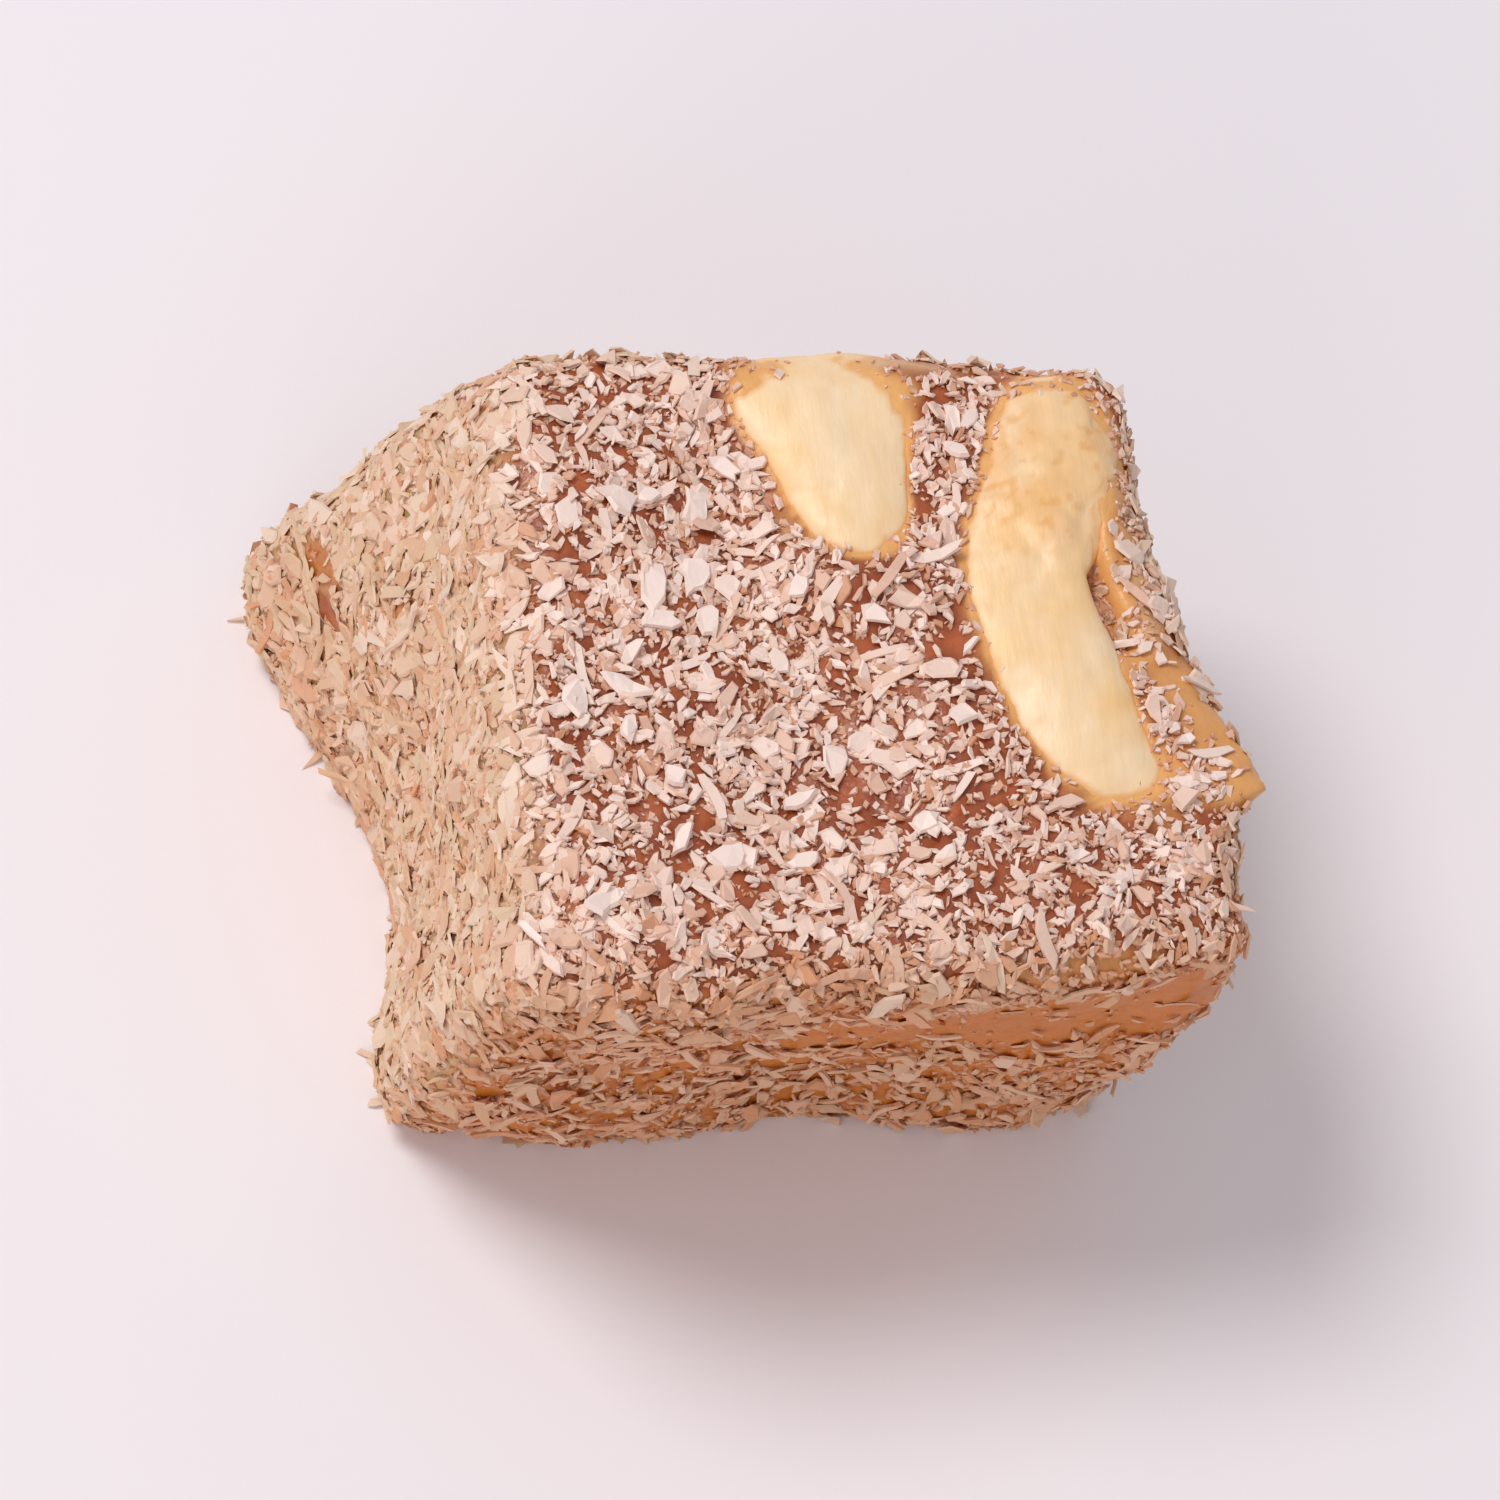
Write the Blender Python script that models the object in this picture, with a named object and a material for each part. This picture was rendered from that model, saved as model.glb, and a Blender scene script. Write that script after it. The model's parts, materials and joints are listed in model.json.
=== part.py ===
"""A cube of hazelnut Turkish delight rolled in grated coconut, standing on its base.

The jelly cube is a rounded box pulled to eight uneven corners, with its larger coconut flakes fused on.
The hazelnut pieces that show at its faces are separate solids, each in a pocket of the jelly.
Metres, +Z up, with -Y towards the front and the origin under the middle of the whole, on the base.
"""

import math
import random

import bmesh
import bpy
from mathutils import Matrix, Vector, noise
from mathutils.bvhtree import BVHTree

MM = 0.001

# Driving dimensions of the jelly cube.
HEIGHT = 21.0 * MM
TOP_FRONT_WIDTH = 27.2 * MM
TOP_BACK_WIDTH = 23.0 * MM
TOP_LEFT_DEPTH = 25.3 * MM
TOP_RIGHT_DEPTH = 24.1 * MM
BASE_LEFT_SPREAD_FRONT = 2.4 * MM
BASE_LEFT_SPREAD_BACK = 6.6 * MM
BASE_UNDERCUT = 2.6 * MM
BASE_BACK_SPREAD = 1.2 * MM
CENTRE = Vector((1.6 * MM, -1.2 * MM, 0.0))

# The surface: how round its edges are, how finely it is divided and how uneven it is.
EDGE_ROUNDNESS = 0.17
GRID_CUTS = 10
GRID_EASE = 0.80
SWELL = 0.80 * MM
SWELL_SIZE = 7.0 * MM
RIPPLE = 0.30 * MM
RIPPLE_SIZE = 2.6 * MM
FLAT_BASE_BELOW = 0.9 * MM

# Hazelnut pieces.
POCKET_GAP = 0.3 * MM
KERNEL_SEGMENTS = 22
KERNEL_RINGS = 15

# Coconut flakes that are large enough to be solids here.
FLAKE_SEED = 7
FLAKE_COUNT = 208
FLAKE_SPACING = 2.6 * MM
FLAKE_NUT_CLEARANCE = 1.7 * MM
FLAKE_LENGTH = (1.7 * MM, 2.9 * MM)
FLAKE_NARROWNESS = (0.45, 0.80)
FLAKE_THICKNESS = 1.1 * MM
FLAKE_RISE = (0.30 * MM, 0.55 * MM)
FLAKE_TILT = math.radians(18.0)
FLAKE_SIDES = 5
FLAKE_TRIES = 60000
BASE_CLEARANCE = 0.25 * MM

# The pointed lip at the right edge of the top.
FLAP_MIDDLE = Vector((12.3, -4.6, 19.5)) * MM
FLAP_AIM = Vector((1.0, -0.03, 0.08))
FLAP_LENGTH = 5.2 * MM
FLAP_HALF_WIDTH = 4.2 * MM
FLAP_TIP = 0.45 * MM
FLAP_FLATNESS = 0.26

AMBER_JELLY = ((0.80, 0.58, 0.44, 1.0), 0.75)
HAZELNUT = ((0.93, 0.72, 0.46, 1.0), 0.50)


def clear_scene():
    for obj in list(bpy.data.objects):
        bpy.data.objects.remove(obj, do_unlink=True)


def new_collection(name):
    collection = bpy.data.collections.new(name)
    bpy.context.scene.collection.children.link(collection)
    return collection


def new_material(name, colour, roughness):
    material = bpy.data.materials.new(name)
    material.use_nodes = True
    shader = material.node_tree.nodes["Principled BSDF"]
    shader.inputs["Base Color"].default_value = colour
    shader.inputs["Roughness"].default_value = roughness
    shader.inputs["Metallic"].default_value = 0.0
    return material


def object_from(bm, name, collection, material=None):
    """A new object with this bmesh as its mesh. It frees the bmesh."""
    bm.normal_update()
    bmesh.ops.recalc_face_normals(bm, faces=bm.faces)
    mesh = bpy.data.meshes.new(name)
    bm.to_mesh(mesh)
    bm.free()
    obj = bpy.data.objects.new(name, mesh)
    collection.objects.link(obj)
    if material:
        mesh.materials.append(material)
    return obj


# The jelly cube.
def block_corners():
    """The eight corners, by their signs along X, Y and Z. The base spreads to the left and draws in at the front."""
    front = -12.0 * MM
    top_left, top_right = -12.8 * MM, -12.8 * MM + TOP_FRONT_WIDTH
    back_left = -11.2 * MM
    back_right = back_left + TOP_BACK_WIDTH
    left_depth, right_depth = front + TOP_LEFT_DEPTH, front + TOP_RIGHT_DEPTH
    base_front = front + BASE_UNDERCUT
    return {
        (-1, -1, 1): Vector((top_left, front, HEIGHT)),
        (1, -1, 1): Vector((top_right, front, 0.985 * HEIGHT)),
        (1, 1, 1): Vector((back_right, right_depth, 0.99 * HEIGHT)),
        (-1, 1, 1): Vector((back_left, left_depth, HEIGHT)),
        (-1, -1, -1): Vector((top_left - BASE_LEFT_SPREAD_FRONT, base_front, 0.0)),
        (1, -1, -1): Vector((top_right - 0.9 * MM, base_front - 0.3 * MM, 0.0)),
        (1, 1, -1): Vector((back_right, right_depth + 0.4 * MM, 0.0)),
        (-1, 1, -1): Vector((back_left - BASE_LEFT_SPREAD_BACK, left_depth + BASE_BACK_SPREAD, 0.0)),
    }


# Lumps and hollows: where each is, how far it reaches and how far it pushes the surface.
BULGES = (
    (Vector((-16.8, 12.8, 3.6)) * MM, 4.0 * MM, Vector((-1.3, 0.2, 0.3)) * MM),
    (Vector((-15.5, 1.0, 1.5)) * MM, 6.0 * MM, Vector((2.6, 0.0, 0.0)) * MM),
    (Vector((-13.2, 3.4, 10.5)) * MM, 4.2 * MM, Vector((0.9, 0.0, 0.0)) * MM),
    (Vector((-14.5, -6.5, 6.0)) * MM, 5.0 * MM, Vector((-0.4, -0.3, 0.0)) * MM),
    (Vector((0.5, -11.0, 8.0)) * MM, 6.0 * MM, Vector((0.0, 0.8, 0.0)) * MM),
    (Vector((-2.0, 0.0, 21.0)) * MM, 7.5 * MM, Vector((0.0, 0.0, -0.5)) * MM),
    (Vector((13.0, 3.0, 13.0)) * MM, 6.5 * MM, Vector((-0.8, 0.0, 0.0)) * MM),
    (Vector((12.2, 4.4, 20.5)) * MM, 3.0 * MM, Vector((-0.7, 0.0, 0.0)) * MM),
    (Vector((13.4, -2.4, 20.5)) * MM, 3.2 * MM, Vector((0.7, 0.0, 0.0)) * MM),
    (Vector((-6.0, 13.0, 12.0)) * MM, 6.0 * MM, Vector((0.0, 0.6, 0.0)) * MM),
)


def ease(c):
    """Draws the grid's lines towards the edges, where the surface bends."""
    return math.sin(c * GRID_EASE * math.pi / 2) / math.sin(GRID_EASE * math.pi / 2)


def rounded(point):
    """A point of the cube from -1 to 1, moved onto the rounded cube."""
    eased = Vector([ease(c) for c in point])
    flat = 1.0 - EDGE_ROUNDNESS
    core = Vector([max(-flat, min(flat, c)) for c in eased])
    return core + (eased - core).normalized() * EDGE_ROUNDNESS


def warped(point, corners):
    """A point of the rounded cube, placed between the eight real corners."""
    placed = Vector((0.0, 0.0, 0.0))
    for signs, corner in corners.items():
        share = 1.0
        for sign, c in zip(signs, point):
            share *= (1.0 + sign * c) / 2
        placed += corner * share
    return placed


def uneven(point, outward):
    """A point of the surface after its lumps, hollows and ripples."""
    moved = point.copy()
    for centre, reach, push in BULGES:
        moved += push * math.exp(-(point - centre).length_squared / reach**2)
    swell = noise.noise(point / SWELL_SIZE)
    ripple = noise.noise(point / RIPPLE_SIZE + Vector((5.0, 2.0, 9.0)))
    moved += outward * (SWELL * swell + RIPPLE * ripple)
    if moved.z < FLAT_BASE_BELOW and outward.z < -0.5:
        moved.z = 0.0
    moved.z = max(0.0, moved.z)
    return moved + CENTRE


def jelly_block(collection, material):
    bm = bmesh.new()
    bmesh.ops.create_cube(bm, size=2.0)
    bmesh.ops.subdivide_edges(bm, edges=bm.edges, cuts=GRID_CUTS, use_grid_fill=True)
    corners = block_corners()
    for vertex in bm.verts:
        vertex.co = warped(rounded(vertex.co), corners)
    bm.normal_update()
    outward = {vertex: vertex.normal.copy() for vertex in bm.verts}
    for vertex, normal in outward.items():
        vertex.co = uneven(vertex.co, normal)
    bmesh.ops.triangulate(bm, faces=bm.faces)
    return object_from(bm, "coconut_jelly_cube", collection, material)


# Hazelnut pieces. Each starts as a sphere whose height runs along the piece.
def kernel_from(shape, name, grow, collection, material=None):
    """shape(along, across, up, grow) gives the place of a point: along runs from -1 to 1, and across and up are
    the point's direction round the piece."""
    bm = bmesh.new()
    bmesh.ops.create_uvsphere(
        bm, u_segments=KERNEL_SEGMENTS, v_segments=KERNEL_RINGS, radius=1.0
    )
    for vertex in bm.verts:
        side = Vector((vertex.co.x, vertex.co.y))
        direction = side.normalized() if side.length > 1e-6 else Vector((0.0, 0.0))
        vertex.co = shape(vertex.co.z, direction.x, direction.y, grow) + CENTRE
    return object_from(bm, name, collection, material)


def blunt(along, power):
    """The share of the full width that is left at this place along a piece with round ends."""
    return max(0.0, 1.0 - abs(along) ** power) ** (1.0 / power)


def smooth_step(low, high, value):
    share = max(0.0, min(1.0, (value - low) / (high - low)))
    return share * share * (3.0 - 2.0 * share)


CRESCENT_MIDDLE = Vector((7.45, 2.75, 20.2)) * MM
CRESCENT_HALF_LENGTH = 8.9 * MM
CRESCENT_FRONT_BOW = 3.3 * MM
CRESCENT_BACK_BOW = 1.7 * MM
CRESCENT_HALF_WIDTH = 2.25 * MM
CRESCENT_SWELL = 0.45 * MM
CRESCENT_HALF_HEIGHT = 1.60 * MM
CRESCENT_HOLLOW = 0.95 * MM
CRESCENT_HOLLOW_PLACE = 0.12


def crescent_bow(along):
    """How far the crescent's middle line lies to the right of its straight line, at this place along it."""
    if along < 0.0:
        return CRESCENT_FRONT_BOW * along**2
    return CRESCENT_BACK_BOW * smooth_step(0.0, 0.75, along)


def crescent(along, across, up, grow):
    """A curved sliver of kernel lying along the right edge of the top, fuller at the back, with the hollow of the
    nut showing on its right side."""
    reach = along * (CRESCENT_HALF_LENGTH + grow)
    spine = CRESCENT_MIDDLE + Vector((crescent_bow(along), reach, -0.5 * MM * along**2))
    step = 0.05
    turn = (crescent_bow(along + step) - crescent_bow(along - step)) / (2 * step)
    heading = Vector((turn, CRESCENT_HALF_LENGTH, 0.0)).normalized()
    sideways = Vector((heading.y, -heading.x, 0.0))
    end = blunt(along, 3.0)
    width = CRESCENT_HALF_WIDTH + CRESCENT_SWELL * smooth_step(-0.35, 0.45, along)
    nearness = math.exp(-(((along - CRESCENT_HOLLOW_PLACE) / 0.24) ** 2))
    hollow = CRESCENT_HOLLOW * nearness * max(0.0, across) ** 3
    out = (width + grow) * across - hollow
    return spine + (sideways * out + Vector((0.0, 0.0, (CRESCENT_HALF_HEIGHT + grow) * up))) * end


SLICE_MIDDLE = Vector((0.9, 8.9, 20.35)) * MM
SLICE_HALF_LENGTH = 4.5 * MM
SLICE_LEAN = -0.55 * MM
SLICE_HALF_WIDTH = 2.2 * MM
SLICE_TAPER = 0.65 * MM
SLICE_HALF_HEIGHT = 1.35 * MM
SLICE_DROOP = 1.1 * MM


def wedge_slice(along, across, up, grow):
    """A smooth wedge of kernel on the top, wide where it runs over the back edge."""
    reach = along * (SLICE_HALF_LENGTH + grow)
    droop = SLICE_DROOP * smooth_step(0.35, 1.0, along)
    spine = SLICE_MIDDLE + Vector((SLICE_LEAN * along, reach, -droop))
    end = blunt(along, 3.6)
    width = SLICE_HALF_WIDTH + SLICE_TAPER * along + grow
    return spine + Vector((width * across, 0.0, (SLICE_HALF_HEIGHT + grow) * up)) * end


HALF_MIDDLE = Vector((12.3, -0.4, 9.2)) * MM
HALF_RADIUS = 4.9 * MM
HALF_LENGTH = 5.6 * MM
HALF_THICKNESS = 2.6 * MM
HALF_RIM = 0.75 * MM
HALF_HOLLOW = 2.0 * MM
HALF_HOLLOW_RADIUS = 2.1 * MM


def half_nut(along, across, up, grow):
    """A nut cut in half, with the cut and its round hollow facing out of the right side. up points outwards."""
    end = blunt(along, 2.2)
    level = along * (HALF_LENGTH + grow)
    sideways = (HALF_RADIUS + grow) * across * end
    from_axis = math.hypot(level, sideways)
    if up > 0.0:
        inside = max(0.0, 1.0 - (from_axis / (HALF_LENGTH + grow)) ** 6)
        dish = HALF_HOLLOW * math.exp(-((from_axis / HALF_HOLLOW_RADIUS) ** 4)) * (grow <= 0.0)
        out = (HALF_RIM + grow) * min(1.0, 3.0 * up * end) * (0.35 + 0.65 * inside) - dish * min(1.0, 2.0 * up)
    else:
        out = (HALF_THICKNESS + grow) * up * end
    return HALF_MIDDLE + Vector((out, sideways, level))


BACK_MIDDLE = Vector((-4.4, 12.4, 9.0)) * MM
BACK_HALF_LENGTH = 5.0 * MM
BACK_HALF_WIDTH = 3.9 * MM
BACK_HALF_THICKNESS = 2.3 * MM
BACK_SLANT = math.radians(28.0)


def back_nut(along, across, up, grow):
    """A rounded piece of kernel bulging from the back, lying aslant. up points outwards."""
    end = blunt(along, 2.3)
    level = along * (BACK_HALF_LENGTH + grow)
    sideways = (BACK_HALF_WIDTH + grow + 0.35 * MM * along) * across * end
    out = (BACK_HALF_THICKNESS + grow) * up * end
    turned = Matrix.Rotation(BACK_SLANT, 3, "Y") @ Vector((sideways, 0.0, level))
    return BACK_MIDDLE + turned + Vector((0.0, out, 0.0))


HAZELNUT_PIECES = {
    "hazelnut_crescent": crescent,
    "hazelnut_wedge": wedge_slice,
    "hazelnut_half": half_nut,
    "hazelnut_back": back_nut,
}


# Coconut flakes.
def surface_sampler(obj, rng):
    """A function that gives a random point of the object's surface with the surface's direction there."""
    mesh = obj.data
    mesh.calc_loop_triangles()
    triangles = [
        ([mesh.vertices[i].co.copy() for i in t.vertices], t.normal.copy(), t.area)
        for t in mesh.loop_triangles
    ]
    areas = [area for _, _, area in triangles]

    def draw():
        (a, b, c), normal, _ = rng.choices(triangles, weights=areas)[0]
        u, v = rng.random(), rng.random()
        if u + v > 1.0:
            u, v = 1.0 - u, 1.0 - v
        return a + (b - a) * u + (c - a) * v, normal

    return draw


def flake(name, place, normal, rng, collection):
    """An irregular flat chip with a few sides, sunk into the surface and tilted a little."""
    length = rng.uniform(*FLAKE_LENGTH) / 2
    width = length * rng.uniform(*FLAKE_NARROWNESS)
    rise = rng.uniform(*FLAKE_RISE)
    bm = bmesh.new()
    bmesh.ops.create_cone(
        bm, cap_ends=True, segments=FLAKE_SIDES, radius1=1.0, radius2=0.9, depth=FLAKE_THICKNESS
    )
    for vertex in bm.verts:
        stretch = rng.uniform(0.82, 1.12) if vertex.co.z < 0.0 else 1.0
        vertex.co.x *= length * stretch
        vertex.co.y *= width * stretch
        vertex.co.z += rise - FLAKE_THICKNESS / 2
    turn = Matrix.Rotation(rng.uniform(0.0, 2.0 * math.pi), 4, "Z")
    lean = Matrix.Rotation(rng.uniform(-FLAKE_TILT, FLAKE_TILT), 4, "Y")
    frame = normal.to_track_quat("Z", "Y").to_matrix().to_4x4()
    bm.transform(Matrix.Translation(place) @ frame @ lean @ turn)
    return object_from(bm, name, collection)


def near_or_inside(tree, place, clearance):
    nearest, normal, _, distance = tree.find_nearest(place)
    return distance < clearance or (place - nearest).dot(normal) < 0.0


def scatter_flakes(block, pockets, collection):
    """Places the flakes evenly over the cube, clear of the hazelnut pieces, of each other and of the base."""
    rng = random.Random(FLAKE_SEED)
    draw = surface_sampler(block, rng)
    graph = bpy.context.evaluated_depsgraph_get()
    hollows = [BVHTree.FromObject(pocket, graph) for pocket in pockets]
    placed = []
    for _ in range(FLAKE_TRIES):
        if len(placed) == FLAKE_COUNT:
            break
        place, normal = draw()
        if place.z < BASE_CLEARANCE + FLAKE_LENGTH[1] / 2 and normal.z < 0.5:
            near_base = place.z - (FLAKE_LENGTH[1] / 2) * math.sqrt(1.0 - normal.z**2)
            if near_base < BASE_CLEARANCE:
                continue
        if any((place - other).length < FLAKE_SPACING for other in placed):
            continue
        if any(near_or_inside(hollow, place, FLAKE_NUT_CLEARANCE) for hollow in hollows):
            continue
        placed.append(place)
        flake(f"flake_{len(placed):03d}", place, normal, rng, collection)
    return len(placed)


def skin_flap(collection):
    """The thin pointed lip of jelly and coconut that stands out from the right edge of the top."""
    bm = bmesh.new()
    bmesh.ops.create_cone(
        bm, cap_ends=True, segments=8, radius1=FLAP_HALF_WIDTH, radius2=FLAP_TIP, depth=FLAP_LENGTH
    )
    flatten = Matrix.Diagonal((1.0, FLAP_FLATNESS, 1.0, 1.0))
    aim = FLAP_AIM.to_track_quat("Z", "Y").to_matrix().to_4x4()
    bm.transform(Matrix.Translation(FLAP_MIDDLE + CENTRE) @ aim @ flatten)
    return object_from(bm, "skin_flap", collection)


def join_coconut(block, cutters, flakes):
    """Fuses the flakes on, cuts the pockets, and keeps the result as the cube's own mesh."""
    for name, operation, others in (("coconut", "UNION", flakes), ("pockets", "DIFFERENCE", cutters)):
        boolean = block.modifiers.new(name, "BOOLEAN")
        boolean.operation = operation
        boolean.solver = "EXACT"
        boolean.operand_type = "COLLECTION"
        boolean.collection = others
    graph = bpy.context.evaluated_depsgraph_get()
    joined = bpy.data.meshes.new_from_object(block.evaluated_get(graph))
    block.modifiers.clear()
    block.data = joined
    for obj in list(flakes.objects):
        bpy.data.objects.remove(obj, do_unlink=True)
    bpy.data.collections.remove(flakes)


def build():
    clear_scene()
    part = new_collection("turkish_delight_cube")
    cutters = new_collection("cutters")
    flakes = new_collection("coconut_flakes")
    jelly = new_material("amber_jelly", *AMBER_JELLY)
    nut = new_material("hazelnut", *HAZELNUT)
    block = jelly_block(part, jelly)
    pockets = []
    for name, shape in HAZELNUT_PIECES.items():
        kernel = kernel_from(shape, name, 0.0, part, nut)
        kernel.data.shade_smooth()
        pocket = kernel_from(shape, name + "_pocket", POCKET_GAP, cutters)
        pocket.hide_render = True
        pocket.display_type = "WIRE"
        pockets.append(pocket)
    scatter_flakes(block, pockets, flakes)
    skin_flap(flakes)
    join_coconut(block, cutters, flakes)


build()
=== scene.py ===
"""The looks of a cube of hazelnut Turkish delight: translucent amber jelly with pieces of hazelnut in it,
rolled in grated coconut. Metres, +Z up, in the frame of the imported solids."""

import json
import math
from dataclasses import dataclass

import bmesh
import bpy
import numpy as np
from mathutils import Matrix, Vector, noise
from mathutils.bvhtree import BVHTree

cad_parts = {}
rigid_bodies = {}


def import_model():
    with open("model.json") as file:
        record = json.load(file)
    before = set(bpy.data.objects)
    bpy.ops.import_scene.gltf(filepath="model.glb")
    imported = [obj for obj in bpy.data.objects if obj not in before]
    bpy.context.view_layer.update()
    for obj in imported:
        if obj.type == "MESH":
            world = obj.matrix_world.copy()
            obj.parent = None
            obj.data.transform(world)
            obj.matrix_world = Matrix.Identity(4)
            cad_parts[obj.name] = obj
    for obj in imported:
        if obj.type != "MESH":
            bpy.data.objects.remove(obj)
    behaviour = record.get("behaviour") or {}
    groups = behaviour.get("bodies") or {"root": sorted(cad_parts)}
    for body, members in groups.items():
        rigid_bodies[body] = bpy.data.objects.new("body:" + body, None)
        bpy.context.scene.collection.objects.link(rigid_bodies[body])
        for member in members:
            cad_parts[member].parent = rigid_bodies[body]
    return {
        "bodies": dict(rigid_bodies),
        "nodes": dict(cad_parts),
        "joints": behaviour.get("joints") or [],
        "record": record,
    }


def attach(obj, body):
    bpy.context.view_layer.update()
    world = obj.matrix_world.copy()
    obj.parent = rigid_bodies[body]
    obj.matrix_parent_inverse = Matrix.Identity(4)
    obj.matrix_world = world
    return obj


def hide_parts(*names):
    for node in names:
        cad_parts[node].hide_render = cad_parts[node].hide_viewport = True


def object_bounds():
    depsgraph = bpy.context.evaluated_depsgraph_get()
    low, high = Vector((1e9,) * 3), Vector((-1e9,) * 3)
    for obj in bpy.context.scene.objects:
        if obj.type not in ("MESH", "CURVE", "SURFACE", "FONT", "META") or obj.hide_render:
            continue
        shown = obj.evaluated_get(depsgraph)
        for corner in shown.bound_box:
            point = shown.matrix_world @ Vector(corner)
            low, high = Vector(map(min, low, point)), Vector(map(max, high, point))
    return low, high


MM = 0.001
ROOT = "root"
SEED = 11

# The jelly cube, from the same values as its solid.
HEIGHT = 21.0 * MM
TOP_FRONT_WIDTH = 27.2 * MM
TOP_BACK_WIDTH = 23.0 * MM
TOP_LEFT_DEPTH = 25.3 * MM
TOP_RIGHT_DEPTH = 24.1 * MM
FRONT_Y = -12.0 * MM
FRONT_LEFT_X = -12.8 * MM
BACK_LEFT_X = -11.2 * MM
FRONT_RIGHT_LEVEL = 0.985
BACK_RIGHT_LEVEL = 0.99
BASE_LEFT_SPREAD_FRONT = 2.4 * MM
BASE_LEFT_SPREAD_BACK = 6.6 * MM
BASE_UNDERCUT = 2.6 * MM
BASE_BACK_SPREAD = 1.2 * MM
BASE_RIGHT_INSET = 0.9 * MM
BASE_RIGHT_FORWARD = 0.3 * MM
BASE_RIGHT_BACK_SPREAD = 0.4 * MM
CENTRE = Vector((1.6 * MM, -1.2 * MM, 0.0))
EDGE_ROUNDNESS = 0.17
GRID_EASE = 0.80
SWELL = 0.80 * MM
SWELL_SIZE = 7.0 * MM
RIPPLE = 0.30 * MM
RIPPLE_SIZE = 2.6 * MM
RIPPLE_SHIFT = Vector((5.0, 2.0, 9.0))
FLAT_BASE_BELOW = 0.9 * MM

# What only the looks have: a fine grid with pits, and jelly drawn thinly over the nuts' edges.
GRID_CUTS = 124
PITS = ((0.95 * MM, 0.12 * MM), (0.42 * MM, 0.06 * MM))
RISE_AT_NUT = 0.06 * MM
RISE_REACH = 0.9 * MM
NUT_REACH = 4.0 * RISE_REACH
FILM_THICKNESS = 0.03 * MM
FILM_DIP = 0.32 * MM
FILM_RUN = (0.03 * MM, 0.30 * MM)
HALO_WIDTH = 0.16 * MM
HALO_LEAST = 0.08 * MM
HALO_VARIES = 1.2
HALO_SIZE = 1.3 * MM

# The camera: the cube's right and up in the picture, as the photograph shows them.
PICTURE_RIGHT = Vector((0.977, -0.140, 0.175))
PICTURE_UP = Vector((0.0465, 0.916, 0.396))
CAMERA_DISTANCE = 0.48
PICTURE_WIDTH = 55.0 * MM


def principled(name, roughness):
    """A new material with the nodes that the others start from."""
    material = bpy.data.materials.new(name)
    material.use_nodes = True
    shader = material.node_tree.nodes["Principled BSDF"]
    shader.inputs["Roughness"].default_value = roughness
    return material, material.node_tree, shader


def node(tree, kind, **values):
    """A new node. A value is a property of the node or, by its name with _ for a space, one of its inputs."""
    made = tree.nodes.new(kind)
    for name, value in values.items():
        if hasattr(made, name):
            setattr(made, name, value)
        else:
            made.inputs[name.replace("_", " ")].default_value = value
    return made


def mix_colour(tree, factor, first, second):
    """Mixes two colours, each a socket or a plain colour, by a factor socket."""
    mix = tree.nodes.new("ShaderNodeMix")
    mix.data_type = "RGBA"
    colours = [socket for socket in mix.inputs if socket.type == "RGBA"]
    for socket, value in zip(colours, (first, second)):
        if isinstance(value, tuple):
            socket.default_value = value
        else:
            tree.links.new(value, socket)
    tree.links.new(factor, mix.inputs["Factor"])
    return [socket for socket in mix.outputs if socket.type == "RGBA"][0]


def srgb(red, green, blue):
    """A colour from 0 to 255 as the linear colour that shaders take."""
    def linear(value):
        share = value / 255.0
        return share / 12.92 if share <= 0.04045 else ((share + 0.055) / 1.055) ** 2.4
    return (linear(red), linear(green), linear(blue), 1.0)


def speckle(tree, scale, detail=2.0, roughness=0.5, stretch=(1.0, 1.0, 1.0)):
    """Noise over the object's own coordinates, with features of about 1/scale metres."""
    place = node(tree, "ShaderNodeTexCoord")
    mapping = node(tree, "ShaderNodeMapping", Scale=stretch)
    texture = node(tree, "ShaderNodeTexNoise", Scale=scale, Detail=detail, Roughness=roughness)
    tree.links.new(place.outputs["Object"], mapping.inputs["Vector"])
    tree.links.new(mapping.outputs["Vector"], texture.inputs["Vector"])
    return texture.outputs["Fac"]


def ramp(tree, factor, low, high):
    """A factor stretched so that low becomes 0 and high becomes 1."""
    stretch = node(tree, "ShaderNodeMapRange", From_Min=low, From_Max=high)
    stretch.clamp = True
    tree.links.new(factor, stretch.inputs["Value"])
    return stretch.outputs["Result"]


def relief(tree, shader, height, distance):
    """Fine relief in the light alone, as deep as distance in metres."""
    bump = node(tree, "ShaderNodeBump", Distance=distance)
    tree.links.new(height, bump.inputs["Height"])
    tree.links.new(bump.outputs["Normal"], shader.inputs["Normal"])


def mesh_value(tree, name):
    """A value that is kept on the mesh's points."""
    return node(tree, "ShaderNodeAttribute", attribute_name=name).outputs["Fac"]


JELLY_COLOURS = (srgb(160, 80, 44), srgb(194, 106, 62))
FILM_COLOUR = srgb(240, 178, 108)
# Painted glow: a brighter orange for the jelly's sides, as if light shone through them.
PAINTED_GLOW_COLOUR = srgb(206, 120, 32)
# Pale coconut dust on the jelly; on the left side it is partly painted light that lifts the shade in the gaps
# between flakes.
DUST_AND_GAP_LIGHT_COLOUR = srgb(222, 178, 132)
COCONUT_COLOUR = srgb(253, 232, 222)
# Painted shade: the darker, warmer cream that coconut on the sides is given.
COCONUT_PAINTED_SIDE_SHADE_COLOUR = srgb(222, 194, 162)
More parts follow.
